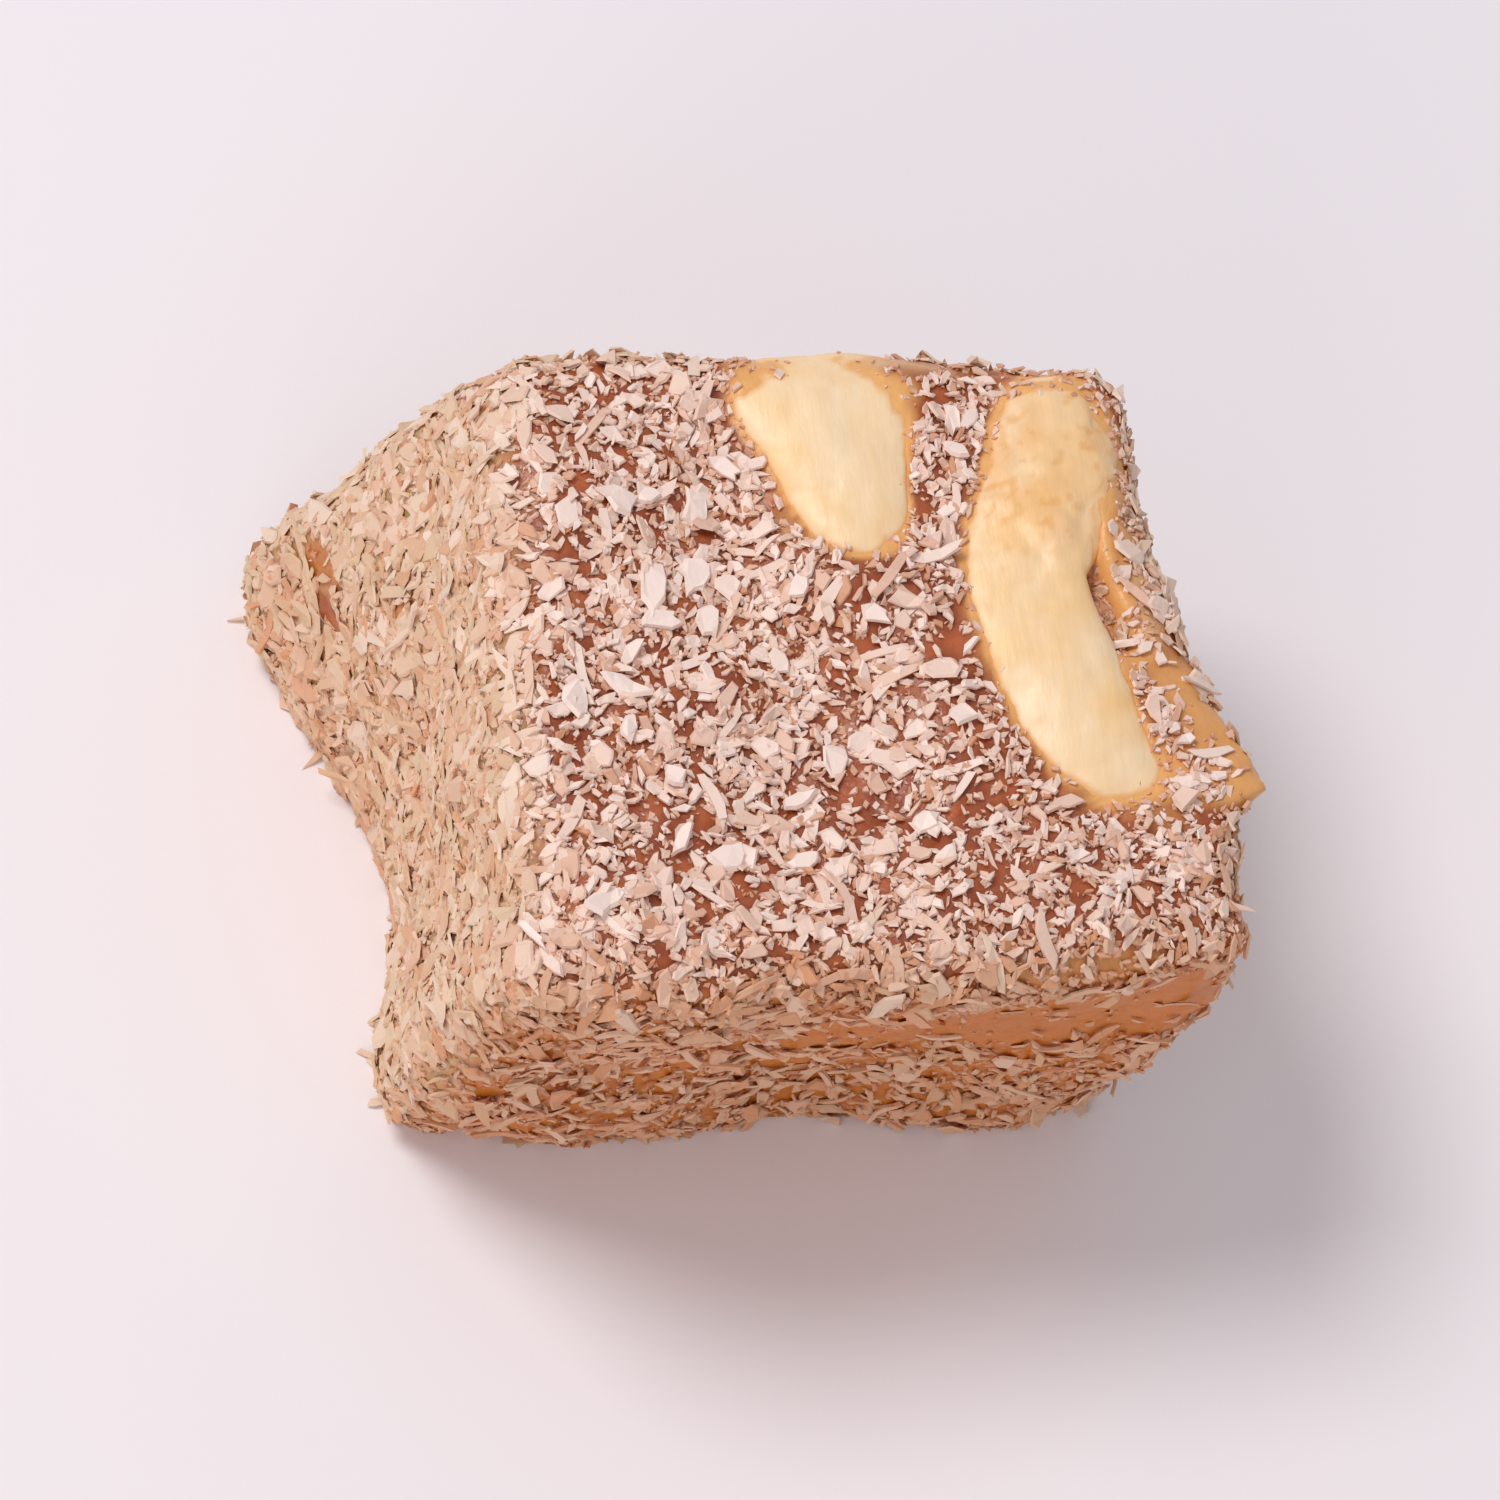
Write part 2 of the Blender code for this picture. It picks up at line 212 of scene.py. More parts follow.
# Browner coconut where jelly has soaked in, and the same colour painted at the front as shade.
COCONUT_STAINED_AND_SHADED_COLOUR = srgb(216, 154, 114)
NUT_COLOURS = (srgb(255, 228, 190), srgb(253, 215, 166))
NUT_TOASTED_COLOUR = srgb(252, 207, 146)
FLOOR_COLOURS = (srgb(244, 238, 243), srgb(248, 243, 247))

# How far red, green and blue light run inside the jelly, and how golden it is where they no longer do.
JELLY_LIGHT_RUN = (1.0, 0.58, 0.22)
JELLY_LIGHT_SCALE = 0.7 * MM
THICK_BELOW_GOLDEN = 0.8


def jelly_material():
    """Amber jelly: deep brown, its sides painted a brighter orange as a glow of light shining through,
    golden where it is a thin film over nut or a thin lip, and pale where fine coconut dust lies on it; on
    the left side that pale dust is partly painted light that lifts the shade between the flakes."""
    material, tree, shader = principled("amber_jelly", 0.36)
    deep = mix_colour(tree, ramp(tree, speckle(tree, 900.0), 0.35, 0.65), *JELLY_COLOURS)
    golden = mesh_value(tree, "golden")
    # Painted glow: the sides get a brighter orange, standing in for light shining through the jelly.
    with_painted_glow = mix_colour(tree, mesh_value(tree, "painted_glow"), deep, PAINTED_GLOW_COLOUR)
    dust_and_gap_light = mesh_value(tree, "dust_and_gap_light")
    colour = mix_colour(tree, dust_and_gap_light, mix_colour(tree, golden, with_painted_glow, FILM_COLOUR), DUST_AND_GAP_LIGHT_COLOUR)
    tree.links.new(colour, shader.inputs["Base Color"])
    thick = node(
        tree, "ShaderNodeMapRange", From_Min=0.0, From_Max=THICK_BELOW_GOLDEN, To_Min=1.0, To_Max=0.0
    )
    tree.links.new(golden, thick.inputs["Value"])
    tree.links.new(thick.outputs["Result"], shader.inputs["Subsurface Weight"])
    shader.inputs["Subsurface Radius"].default_value = JELLY_LIGHT_RUN
    shader.inputs["Subsurface Scale"].default_value = JELLY_LIGHT_SCALE
    relief(tree, shader, speckle(tree, 3200.0, detail=3.0), 0.05 * MM)
    return material


def coconut_material():
    """Dried coconut: white above, painted a darker cream on the sides as shade, and browner where jelly has
    soaked into it and, at the front, as painted shade.
    """
    material, tree, shader = principled("grated_coconut", 0.60)
    # Painted side shade: coconut on the sides is given a darker cream.
    side = ramp(tree, mesh_value(tree, "side"), 0.0, 1.0)
    white_or_painted_side_shade = mix_colour(tree, side, COCONUT_COLOUR, COCONUT_PAINTED_SIDE_SHADE_COLOUR)
    colour = mix_colour(tree, mesh_value(tree, "stain_and_shade"), white_or_painted_side_shade, COCONUT_STAINED_AND_SHADED_COLOUR)
    tree.links.new(colour, shader.inputs["Base Color"])
    relief(tree, shader, speckle(tree, 4200.0), 0.03 * MM)
    return material


def hazelnut_material():
    """Cream kernel with a waxy sheen and a faint grain along it. An amber film of jelly covers its edges, and
    the same amber is painted as shade in the half nut's hollow.
    """
    material, tree, shader = principled("hazelnut_kernel", 0.42)
    grain = speckle(tree, 900.0, detail=4.0, roughness=0.6, stretch=(1.0, 0.25, 1.0))
    patches = ramp(tree, speckle(tree, 260.0, detail=3.0), 0.42, 0.66)
    flesh = mix_colour(tree, ramp(tree, grain, 0.35, 0.70), *NUT_COLOURS)
    toasted = mix_colour(tree, patches, flesh, NUT_TOASTED_COLOUR)
    colour = mix_colour(tree, mesh_value(tree, "film"), toasted, FILM_COLOUR)
    tree.links.new(colour, shader.inputs["Base Color"])
    relief(tree, shader, grain, 0.08 * MM)
    return material


def floor_material():
    """A matt pale floor with the faintest clouds."""
    material, tree, shader = principled("pale_floor", 0.70)
    shade = mix_colour(tree, speckle(tree, 6.0), *FLOOR_COLOURS)
    tree.links.new(shade, shader.inputs["Base Color"])
    return material


# The jelly's form.
def block_corners():
    """The eight corners, by their signs along X, Y and Z. The base spreads to the left and draws in at the
    front."""
    front_right = FRONT_LEFT_X + TOP_FRONT_WIDTH
    back_right = BACK_LEFT_X + TOP_BACK_WIDTH
    left_back = FRONT_Y + TOP_LEFT_DEPTH
    right_back = FRONT_Y + TOP_RIGHT_DEPTH
    base_front = FRONT_Y + BASE_UNDERCUT
    return {
        (-1, -1, 1): Vector((FRONT_LEFT_X, FRONT_Y, HEIGHT)),
        (1, -1, 1): Vector((front_right, FRONT_Y, FRONT_RIGHT_LEVEL * HEIGHT)),
        (1, 1, 1): Vector((back_right, right_back, BACK_RIGHT_LEVEL * HEIGHT)),
        (-1, 1, 1): Vector((BACK_LEFT_X, left_back, HEIGHT)),
        (-1, -1, -1): Vector((FRONT_LEFT_X - BASE_LEFT_SPREAD_FRONT, base_front, 0.0)),
        (1, -1, -1): Vector((front_right - BASE_RIGHT_INSET, base_front - BASE_RIGHT_FORWARD, 0.0)),
        (1, 1, -1): Vector((back_right, right_back + BASE_RIGHT_BACK_SPREAD, 0.0)),
        (-1, 1, -1): Vector((BACK_LEFT_X - BASE_LEFT_SPREAD_BACK, left_back + BASE_BACK_SPREAD, 0.0)),
    }


# Lumps and hollows: where each is, how far it reaches and how far it pushes the surface.
BULGES = (
    (Vector((-16.8, 12.8, 3.6)) * MM, 4.0 * MM, Vector((-1.3, 0.2, 0.3)) * MM),
    (Vector((-15.5, 1.0, 1.5)) * MM, 6.0 * MM, Vector((2.6, 0.0, 0.0)) * MM),
    (Vector((-13.2, 3.4, 10.5)) * MM, 4.2 * MM, Vector((0.9, 0.0, 0.0)) * MM),
    (Vector((-14.5, -6.5, 6.0)) * MM, 5.0 * MM, Vector((-0.4, -0.3, 0.0)) * MM),
    (Vector((0.5, -11.0, 8.0)) * MM, 6.0 * MM, Vector((0.0, 0.8, 0.0)) * MM),
    (Vector((-2.0, 0.0, 21.0)) * MM, 7.5 * MM, Vector((0.0, 0.0, -0.5)) * MM),
    (Vector((13.0, 3.0, 13.0)) * MM, 6.5 * MM, Vector((-0.8, 0.0, 0.0)) * MM),
    (Vector((12.2, 4.4, 20.5)) * MM, 3.0 * MM, Vector((-0.7, 0.0, 0.0)) * MM),
    (Vector((13.4, -2.4, 20.5)) * MM, 3.2 * MM, Vector((0.7, 0.0, 0.0)) * MM),
    (Vector((-6.0, 13.0, 12.0)) * MM, 6.0 * MM, Vector((0.0, 0.6, 0.0)) * MM),
)


def ease(c):
    """Draws the grid's lines towards the edges, where the surface bends."""
    return math.sin(c * GRID_EASE * math.pi / 2) / math.sin(GRID_EASE * math.pi / 2)


def rounded(point):
    """A point of the cube from -1 to 1, moved onto the rounded cube."""
    eased = Vector([ease(c) for c in point])
    flat = 1.0 - EDGE_ROUNDNESS
    core = Vector([max(-flat, min(flat, c)) for c in eased])
    return core + (eased - core).normalized() * EDGE_ROUNDNESS


def warped(point, corners):
    """A point of the rounded cube, placed between the eight real corners."""
    placed = Vector((0.0, 0.0, 0.0))
    for signs, corner in corners.items():
        share = 1.0
        for sign, c in zip(signs, point):
            share *= (1.0 + sign * c) / 2
        placed += corner * share
    return placed


def smooth_step(low, high, value):
    """Rises smoothly from 0 at low to 1 at high, whichever of them is larger."""
    share = max(0.0, min(1.0, (value - low) / (high - low)))
    return share * share * (3.0 - 2.0 * share)


# The lip at the right edge of the top: it slopes out slowly from the back and returns quickly in front.
LIP_TIP_Y = -5.1 * MM
LIP_BACK_RUN = 4.2 * MM
LIP_FRONT_RUN = 1.1 * MM
LIP_Z = 20.1 * MM
LIP_HALF_THICKNESS = 0.80 * MM
LIP_OUT = 2.0 * MM
LIP_FROM_X = 8.0 * MM
LIP_SHARPNESS = 1.3
LIP_RAGGED = (0.85, 0.35)
LIP_RAGGED_SIZE = 0.9 * MM

# The groove beside the crescent, where the jelly has torn away from the nut.
GROOVE_MIDDLE = Vector((10.3, 3.3, 20.6)) * MM
GROOVE_HALF_LENGTH = 3.7 * MM
GROOVE_FULL_SHARE = 0.55
GROOVE_HALF_WIDTH = 0.50 * MM
GROOVE_LEAN = -0.12
GROOVE_DEPTH = 1.2 * MM


def lip_push(point, outward):
    """How far the lip draws this point of the surface out of the right side."""
    if outward.x < -0.2 or point.x < LIP_FROM_X:
        return 0.0
    t = point.y - LIP_TIP_Y
    slope = 1.0 - t / LIP_BACK_RUN if t > 0.0 else 1.0 + t / LIP_FRONT_RUN
    if slope <= 0.0:
        return 0.0
    level = math.exp(-(((point.z - LIP_Z) / LIP_HALF_THICKNESS) ** 2))
    ragged = LIP_RAGGED[0] + LIP_RAGGED[1] * noise.noise(point / LIP_RAGGED_SIZE)
    return LIP_OUT * slope**LIP_SHARPNESS * level * ragged


def groove_depth(point, outward):
    """How deep the groove is at this point of the top."""
    if outward.z < 0.4:
        return 0.0
    y = point.y - GROOVE_MIDDLE.y
    x = point.x - GROOVE_MIDDLE.x - GROOVE_LEAN * y
    run = smooth_step(GROOVE_HALF_LENGTH, GROOVE_FULL_SHARE * GROOVE_HALF_LENGTH, abs(y))
    return GROOVE_DEPTH * run * math.exp(-((x / GROOVE_HALF_WIDTH) ** 2))


def uneven(point, outward):
    """A point of the surface after its lumps, hollows, ripples, lip and groove."""
    moved = point.copy()
    for centre, reach, push in BULGES:
        moved += push * math.exp(-(point - centre).length_squared / reach**2)
    swell = noise.noise(point / SWELL_SIZE)
    ripple = noise.noise(point / RIPPLE_SIZE + RIPPLE_SHIFT)
    moved += outward * (SWELL * swell + RIPPLE * ripple)
    for size, depth in PITS:
        moved += outward * depth * noise.noise(point / size)
    moved.x += lip_push(point, outward)
    moved.z -= groove_depth(point, outward)
    if moved.z < FLAT_BASE_BELOW and outward.z < -0.5:
        moved.z = 0.0
    moved.z = max(0.0, moved.z)
    return moved + CENTRE


def tree_of(obj):
    """The object's surface, to measure places against."""
    return BVHTree.FromObject(obj, bpy.context.evaluated_depsgraph_get())


# No place inside a nut is deeper than this.
NUT_DEEPEST = 2.5 * MM


class Nuts:
    """Measures places against the hazelnut pieces."""

    def __init__(self, objects):
        self.trees = [tree_of(obj) for obj in objects]

    def nearest(self, place):
        """The nearest piece, and how far the place lies outside it. Inside it the distance is negative."""
        found = (None, 1.0)
        for tree in self.trees:
            nearest, normal, _, distance = tree.find_nearest(place)
            if distance < NUT_DEEPEST and (place - nearest).dot(normal) < 0.0:
                distance = -distance
            if distance < found[1]:
                found = (tree, distance)
        return found


PROBE = 4.0 * MM

# The round hollow of the half nut in the right face.
DISH_MIDDLE = Vector((12.3, -0.4, 9.2)) * MM
DISH_RADIUS = 2.5 * MM


def height_of_nut(tree, place, outward):
    """How far the piece's surface stands above this place, or None where it doesn't lie above or below it."""
    hit, _, _, run = tree.ray_cast(place + outward * PROBE, -outward, 2 * PROBE)
    return None if hit is None else PROBE - run


def in_dish(place, outward):
    """Whether a place on the right face lies in front of the half nut's hollow."""
    return outward.x > 0.5 and (place - CENTRE - DISH_MIDDLE).yz.length < DISH_RADIUS


def drawn_to_nut(place, outward, nuts):
    """The surface after the jelly has crept thinly over the nut's edge and dipped below its open part, and
    how far the place lies from the open nut."""
    tree, gap = nuts.nearest(place)
    dish = in_dish(place, outward)
    if gap > NUT_REACH and not dish:
        return place, gap
    rise = RISE_AT_NUT * math.exp(-((max(gap, 0.0) / RISE_REACH) ** 2))
    height = height_of_nut(tree, place, outward) if dish or gap < RISE_REACH else None
    if height is None:
        return place + outward * rise, gap
    if dish:
        return place + outward * (height - FILM_DIP), -FILM_RUN[1]
    film = FILM_THICKNESS - FILM_DIP * smooth_step(*FILM_RUN, height)
    lift = height + film if film < 0.0 else max(height + film, rise)
    return place + outward * lift, max(gap, 0.0) - max(height, 0.0)


# Places where the coat is thin and the jelly shows: bands from point to point in mm, with their reach in mm
# and how bare they are.
BARE_BANDS = (
    ((-15.9, 11.3, 6.8), (-15.7, 10.6, 7.6), 1.0, 0.85),
    ((-14.0, 7.6, 11.5), (-13.8, 7.0, 12.6), 0.8, 0.80),
    ((-15.6, 9.8, 6.0), (-15.3, 8.9, 6.4), 0.8, 0.95),
    ((-13.5, 2.0, 6.0), (-13.6, -2.0, 10.0), 0.8, 0.50),
    ((1.4, -10.8, 12.6), (10.8, -11.4, 14.8), 4.1, 0.90),
    ((4.4, -12.0, 20.2), (9.6, -11.6, 20.1), 0.55, 0.70),
    ((-6.0, -10.4, 9.0), (8.0, -10.4, 8.0), 2.6, 0.35),
    ((-2.1, 11.0, 21.0), (-1.0, 5.8, 21.0), 0.75, 0.90),
    ((3.2, 12.0, 21.0), (3.1, 8.0, 21.0), 0.55, 0.70),
    ((5.4, 0.5, 21.0), (8.2, -5.4, 21.0), 1.0, 0.60),
    ((8.2, -5.4, 21.0), (11.4, -6.6, 21.0), 0.7, 0.50),
    ((12.2, -0.3, 20.7), (15.1, -5.4, 20.2), 1.35, 0.93),
    ((10.4, 6.0, 20.6), (10.4, 0.5, 20.6), 0.8, 0.85),
    ((3.0, 12.5, 20.6), (8.0, 12.2, 20.6), 0.95, 0.97),
    ((1.5, 2.2, 21.0), (4.6, -0.5, 21.0), 2.6, 0.42),
    ((-0.5, -4.2, 21.0), (4.5, -9.0, 21.0), 1.6, 0.45),
    ((-11.0, 6.0, 21.0), (-10.5, -8.0, 21.0), 1.2, 0.30),
)

# A spot on the left side where the painted glow is left out, so the jelly shows dark.
DARK_SPOT = (((-15.6, 9.8, 6.0), (-15.3, 8.9, 6.4), 0.9, 1.0),)

# The smooth pale skin along the back edge, between the nuts, and the thin torn wall along the right edge.
SKIN_BAND = (
    ((3.0, 12.4, 20.8), (8.0, 12.0, 20.7), 0.7, 0.90),
    ((11.3, 8.6, 20.4), (11.7, 0.8, 20.4), 0.5, 0.70),
)

# Places beside the nuts where the jelly is thin and golden.
GOLDEN_BANDS = (
    ((-2.0, 11.5, 21.0), (-1.2, 5.6, 21.0), 0.7, 0.55),
    ((5.6, 0.5, 21.0), (8.2, -5.2, 21.0), 0.8, 0.40),
    ((8.2, -5.2, 21.0), (11.4, -6.4, 21.0), 0.7, 0.40),
    ((12.6, -1.0, 20.7), (15.6, -5.2, 20.2), 1.6, 0.80),
    ((9.9, 9.2, 20.8), (10.9, 0.4, 20.8), 1.3, 0.85),
    ((4.4, -12.0, 20.2), (9.6, -11.6, 20.1), 0.7, 0.55),
)


def in_bands(place, bands):
    """How strongly the bands cover this place: fully within reach of the line from point to point."""
    from_centre = place - CENTRE
    most = 0.0
    for start, end, reach, share in bands:
        run = (Vector(end) - Vector(start)) * MM
        start = Vector(start) * MM
        along = max(0.0, min(1.0, (from_centre - start).dot(run) / run.length_squared))
        distance = (from_centre - start - run * along).length / (reach * MM)
        most = max(most, share * math.exp(-(distance**4)))
    return most


def plain_jelly():
    """The jelly's surface before it meets the nuts, and for each vertex its place on the even block and the
    direction outwards there."""
    bm = bmesh.new()
    bmesh.ops.create_cube(bm, size=2.0)
    bmesh.ops.subdivide_edges(bm, edges=bm.edges, cuts=GRID_CUTS, use_grid_fill=True)
    corners = block_corners()
    for vertex in bm.verts:
        vertex.co = warped(rounded(vertex.co), corners)
    bm.normal_update()
    rows = [(vertex, vertex.co.copy(), vertex.normal.copy()) for vertex in bm.verts]
    for vertex, start, normal in rows:
        vertex.co = uneven(start, normal)
    return bm, rows


# The lip and the groove are golden where they move the surface by this much, and how golden they get.
LIP_GOLDEN = (0.5 * MM, 0.8)
GROOVE_GOLDEN = (0.6 * MM, 0.75)

# How strongly the sides are painted with glow, and dust, partly painted light between the flakes, covers
# the left side, and between which directions each grows.
PAINTED_GLOW = (0.9, 0.8, 0.1)
DUST_AND_GAP_LIGHT = (0.75, 0.3, 0.8)


def jelly_body(bm, rows, nuts, material):
    """The jelly with its fine surface. Values kept on its points, for its colour: golden; the painted glow on
    the sides; and the dust, partly painted light between flakes. Also nut_gap, the distance to the open nut,
    and bare, how thin the coat is."""
    values = {"golden": [], "painted_glow": [], "dust_and_gap_light": [], "nut_gap": [], "bare": []}
    for vertex, start, normal in rows:
        place = vertex.co.copy()
        vertex.co, gap = drawn_to_nut(place, normal, nuts)
        vertex.co.z = max(0.0, vertex.co.z)
        bare = in_bands(place, BARE_BANDS)
        halo_width = HALO_WIDTH * (1.0 + HALO_VARIES * noise.noise(place / HALO_SIZE))
        halo = math.exp(-((max(gap, 0.0) / max(halo_width, HALO_LEAST)) ** 2))
        lip = LIP_GOLDEN[1] * min(1.0, lip_push(start, normal) / LIP_GOLDEN[0])
        torn = GROOVE_GOLDEN[1] * min(1.0, groove_depth(start, normal) / GROOVE_GOLDEN[0])
        golden = max(halo, lip, torn, in_bands(place, GOLDEN_BANDS))
        values["golden"].append(min(1.0, golden))
        clear = 1.0 - in_bands(place, DARK_SPOT)
        # Painted glow on the sides, left out at the dark spot.
        values["painted_glow"].append(PAINTED_GLOW[0] * smooth_step(*PAINTED_GLOW[1:], normal.z) * clear)
        # Dust on the left side, partly painted light that lifts the shade between flakes, and the pale skin
        # bands.
        dusted_and_gap_lit = DUST_AND_GAP_LIGHT[0] * smooth_step(*DUST_AND_GAP_LIGHT[1:], -normal.x) * (1.0 - bare)
        values["dust_and_gap_light"].append(max(dusted_and_gap_lit, in_bands(place, SKIN_BAND)))
        values["nut_gap"].append(gap)
        values["bare"].append(bare)
    mesh = bpy.data.meshes.new("jelly_body")
    bm.to_mesh(mesh)
    bm.free()
    mesh.shade_smooth()
    for name, numbers in values.items():
        mesh.attributes.new(name, "FLOAT", "POINT").data.foreach_set("value", numbers)
    return piece("jelly_body", mesh, material, "coconut_jelly_cube")


def piece(name, mesh, material, replaced):
    """A piece of the visual model that rides on the root and stands for a solid."""
    obj = bpy.data.objects.new(name, mesh)
    bpy.context.scene.collection.objects.link(obj)
    mesh.materials.clear()
    mesh.materials.append(material)
    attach(obj, ROOT)
    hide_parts(replaced)
    return obj


# Hazelnut pieces.
NUT_SHOWN = 0.50
NUT_SPREAD = 0.34 * MM
WEDGE_SPREAD = 0.40 * MM
WEDGE_BACK_SPREAD = 1.1 * MM
WEDGE_BACK_RUN = (7.0 * MM, 12.0 * MM)
NUT_GRID = 0.16 * MM
NUT_SMOOTHING = 14
NUT_DENTS = ((2.2 * MM, 0.10 * MM), (0.8 * MM, 0.03 * MM))
ROUGH_FROM_Y = 3.0 * MM
ROUGH_RUN = (ROUGH_FROM_Y, ROUGH_FROM_Y + 1.5 * MM)
ROUGH_DENTS = (0.50 * MM, 0.05 * MM)
LOBE_MIDDLE = Vector((8.2, 4.9)) * MM
LOBE_RADIUS = 1.10 * MM
LOBE_HEIGHT = 0.12 * MM
LOBE_FULL_SHARE = 0.50
FILM_FADE = (0.10 * MM, 0.0)
# Amber in the half nut's hollow, partly film and partly painted shade, thickest towards its middle.
DISH_FILM_AND_SHADE = 0.50
DISH_FADE = (1.05 * DISH_RADIUS, 0.70 * DISH_RADIUS)

# Film that is left on the crescent's torn half: all over it, in patches and in dots. Patches and dots have a
# share, a size, and the values of the noise where they start and are full.
TORN_RUN = (ROUGH_FROM_Y - 1.5 * MM, ROUGH_FROM_Y + 3.0 * MM)
TORN_FILM = 0.18
TORN_PATCHES = (0.30, 1.3 * MM, -0.2, 0.5)
TORN_DOTS = (0.45, 0.42 * MM, 0.20, 0.42)


def crescent_relief(place):
    """How far the crescent's back half, which was torn from a thicker piece, stands out at this place."""
    from_centre = place - CENTRE
    rough = smooth_step(*ROUGH_RUN, from_centre.y)
    size, depth = ROUGH_DENTS
    from_lobe = (from_centre.xy - LOBE_MIDDLE).length
    lobe = LOBE_HEIGHT * smooth_step(LOBE_RADIUS, LOBE_FULL_SHARE * LOBE_RADIUS, from_lobe)
    return rough * depth * noise.noise(place / size) + lobe


def fine_nut(name, solid, jelly_level, material):
    """The solid's form with a smooth, slightly dented surface, cut nearly level with the jelly. The wedge
    grows broader towards the back."""
    source = solid.copy()
    source.data = solid.data.copy()
    bpy.context.scene.collection.objects.link(source)
    grid = source.modifiers.new("grid", "REMESH")
    grid.mode = "VOXEL"
    grid.voxel_size = NUT_GRID
    smoothing = source.modifiers.new("smooth", "SMOOTH")
    smoothing.iterations = NUT_SMOOTHING
    bpy.context.view_layer.update()
    graph = bpy.context.evaluated_depsgraph_get()
    mesh = bpy.data.meshes.new_from_object(source.evaluated_get(graph))
    bpy.data.objects.remove(source, do_unlink=True)
    mesh.name = name
    torn = solid.name == "hazelnut_crescent"
    wedge = solid.name == "hazelnut_wedge"
    spread = WEDGE_SPREAD if wedge else NUT_SPREAD
    normals = [vertex.normal.copy() for vertex in mesh.vertices]
    for vertex, normal in zip(mesh.vertices, normals):
        start = vertex.co.copy()
        level, upward, _, _ = jelly_level.find_nearest(start)
        vertex.co -= upward * max(0.0, (start - level).dot(upward)) * (1.0 - NUT_SHOWN)
        vertex.co += (normal - upward * normal.dot(upward)) * spread
        for size, depth in NUT_DENTS:
            vertex.co += normal * depth * noise.noise(start / size)
        if wedge:
            near_back = smooth_step(*WEDGE_BACK_RUN, start.y - CENTRE.y)
            vertex.co.x += normal.x * WEDGE_BACK_SPREAD * near_back
        if torn and normal.z > 0.2:
            vertex.co += normal * crescent_relief(start)
    mesh.shade_smooth()
    return piece(name, mesh, material, solid.name)


def torn_film(place):
    """How much film is left on this place of the crescent."""
    film = TORN_FILM
    for share, size, start, full in (TORN_PATCHES, TORN_DOTS):
        film += share * smooth_step(start, full, noise.noise(place / size))
    return film * smooth_step(*TORN_RUN, place.y - CENTRE.y)


def film_on_nuts(nut_pieces, surface):
    """Keeps on each nut's points how much amber film lies over them: all where the jelly is at the surface,
    none where it has dipped well below. Torn places keep some more, and the half nut's hollow gets more
    amber, partly film and partly painted shade."""
    for nut in nut_pieces:
        film = []
        for vertex in nut.data.vertices:
            nearest, normal, _, distance = surface.find_nearest(vertex.co)
            above = distance if (vertex.co - nearest).dot(normal) > 0.0 else -distance
            share = smooth_step(*FILM_FADE, above)
            if nut.name == "kernel_crescent":
                share = max(share, torn_film(vertex.co))
            # Painted shade, with film, in the half nut's hollow.
            if nut.name == "kernel_half":
                from_axis = (vertex.co - CENTRE - DISH_MIDDLE).yz.length
                share = max(share, DISH_FILM_AND_SHADE * smooth_step(*DISH_FADE, from_axis))
            film.append(share)
        nut.data.attributes.new("film", "FLOAT", "POINT").data.foreach_set("value", film)


# Grated coconut.
@dataclass
class Kind:
    """One size of coconut piece. Lengths are in metres, width is a share of the length, and tilt is in
    degrees. The shares tell how thickly it lies on the top, the left, the front and the other sides. Sides is
    0 for shreds. The last field is the shape of the spread of how much jelly colours the pieces, before
    painted shade is added at the front."""

    name: str
    count: int
    sides: int
    length: tuple
    width: tuple
    thickness: tuple
    tilt: float
    lift: tuple
    curl: float
    shares: tuple
    clearance: float
    stain_and_shade: tuple


KINDS = (
    Kind("coconut_grit", 14000, 3, (0.16 * MM, 0.34 * MM), (0.50, 1.00), (0.06 * MM, 0.12 * MM), 40.0,
         (-0.01 * MM, 0.08 * MM), 0.0, (1.5, 1.3, 1.0, 1.0), -0.25 * MM, (2.2, 1.5)),
    Kind("coconut_crumbs", 16000, 4, (0.30 * MM, 0.68 * MM), (0.35, 0.80), (0.05 * MM, 0.13 * MM), 46.0,
         (-0.02 * MM, 0.14 * MM), 0.0, (1.4, 0.8, 0.70, 0.9), -0.20 * MM, (1.5, 1.5)),
    Kind("coconut_shards", 12000, 5, (0.50 * MM, 1.15 * MM), (0.26, 0.58), (0.05 * MM, 0.13 * MM), 36.0,
         (0.00 * MM, 0.24 * MM), 0.14, (1.35, 1.1, 0.65, 1.0), -0.04 * MM, (1.0, 2.4)),
    Kind("coconut_shreds", 1400, 0, (0.90 * MM, 2.10 * MM), (0.14, 0.26), (0.07 * MM, 0.13 * MM), 12.0,
         (0.03 * MM, 0.26 * MM), 0.10, (0.30, 1.2, 1.0, 1.0), 0.25 * MM, (1.1, 2.8)),
    Kind("coconut_flakes", 3600, 7, (0.80 * MM, 1.60 * MM), (0.40, 0.80), (0.06 * MM, 0.12 * MM), 26.0,
         (0.05 * MM, 0.30 * MM), 0.20, (0.65, 2.4, 0.80, 1.1), 0.18 * MM, (1.1, 2.8)),
    Kind("coconut_chips", 90, 9, (1.5 * MM, 2.4 * MM), (0.34, 0.62), (0.08 * MM, 0.13 * MM), 16.0,
         (0.10 * MM, 0.26 * MM), 0.22, (0.0, 3.0, 0.5, 0.6), 0.7 * MM, (1.0, 5.0)),
)
SHRED_SECTIONS = 3
SHRED_END_WIDTH = (0.35, 1.0)
SHRED_SLANT = 0.18
SHRED_ARCH_MIDDLE = 0.4

# A chip's corners: how far each strays round the ring, out and up, and how small the upper ring is.
CHIP_STRAY = 0.34
CHIP_RADIUS = (0.58, 1.16)
CHIP_RAGGED = 0.30
CHIP_TOP_SIZE = 0.84

